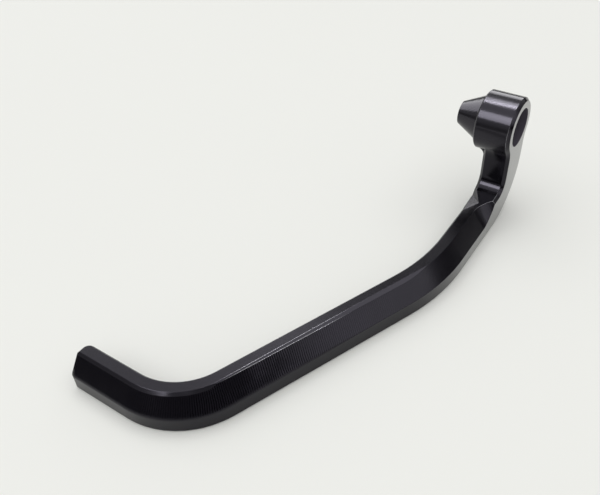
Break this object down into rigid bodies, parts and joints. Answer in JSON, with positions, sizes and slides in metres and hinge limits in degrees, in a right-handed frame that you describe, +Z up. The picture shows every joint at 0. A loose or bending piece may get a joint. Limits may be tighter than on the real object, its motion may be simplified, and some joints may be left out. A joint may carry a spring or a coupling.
{
  "type": "brake lever guard",
  "caption": "Hooked bar-end arm in black anodised aluminium that shields a motorcycle brake lever, with a bevelled blade, a rising neck and an eye with a seating cone.",
  "frame": {"origin": "on the bolt's axis, in the plane of the eye's outer face", "axes": "+X along the bolt's axis, outboard; +Y from the blade's tip back to the eye; +Z up, square to the blade's flat underside"},
  "size_m": [0.085, 0.1726, 0.0507],
  "materials": {
    "black_anodised": "satin black anodised, as milled"
  },
  "bodies": {
    "root": {"lever_guard": "black_anodised"}
  },
  "joints": []
}
